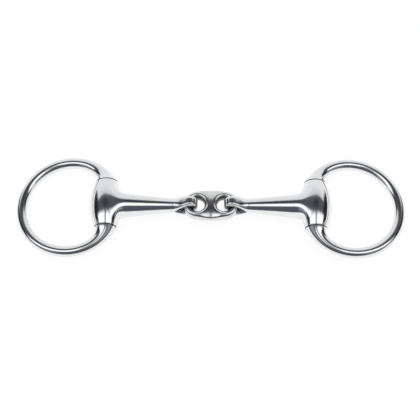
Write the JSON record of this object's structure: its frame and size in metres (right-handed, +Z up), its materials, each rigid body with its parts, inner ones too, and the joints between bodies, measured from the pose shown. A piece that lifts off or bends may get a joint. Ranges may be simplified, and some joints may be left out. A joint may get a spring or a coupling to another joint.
{
  "type": "snaffle bit",
  "caption": "Double-jointed eggbutt snaffle bit: round cheek rings swivel on olive barrels at the ends of tapered cannons, joined by a flat lozenge link.",
  "frame": {"origin": "on the table under the middle of the centre link, with the bit lying flat", "axes": "+X along the straight mouthpiece from the left ring to the right ring, +Y along the barrels' pivot axes, +Z up from the table"},
  "size_m": [0.2604, 0.0728, 0.0216],
  "materials": {
    "polished_steel": "mirror-polished stainless steel",
    "link_steel": "polished stainless steel, satin inside the holes",
    "pin_steel": "turned stainless steel"
  },
  "bodies": {
    "link": {"centre_link": "link_steel"},
    "left_cannon": {"left_cannon": "polished_steel"},
    "right_cannon": {"right_cannon": "polished_steel"},
    "left_cheek": {"left_ring": "polished_steel", "left_pivot_pin": "pin_steel"},
    "right_cheek": {"right_ring": "polished_steel", "right_pivot_pin": "pin_steel"}
  },
  "joints": [
    {"name": "left_cannon_fold", "type": "hinge", "parent": "link", "child": "left_cannon", "pos_m": [-0.0171, 0, 0.0108], "axis": [0, 1, 0], "range_deg": [-30, 30]},
    {"name": "right_cannon_fold", "type": "hinge", "parent": "link", "child": "right_cannon", "pos_m": [0.0171, 0, 0.0108], "axis": [0, -1, 0], "range_deg": [-30, 30]},
    {"name": "left_ring_swivel", "type": "hinge", "parent": "left_cannon", "child": "left_cheek", "pos_m": [-0.0698, 0, 0.0108], "axis": [0, 1, 0], "range_deg": [-155, 168]},
    {"name": "right_ring_swivel", "type": "hinge", "parent": "right_cannon", "child": "right_cheek", "pos_m": [0.0698, 0, 0.0108], "axis": [0, -1, 0], "range_deg": [-155, 168]}
  ]
}
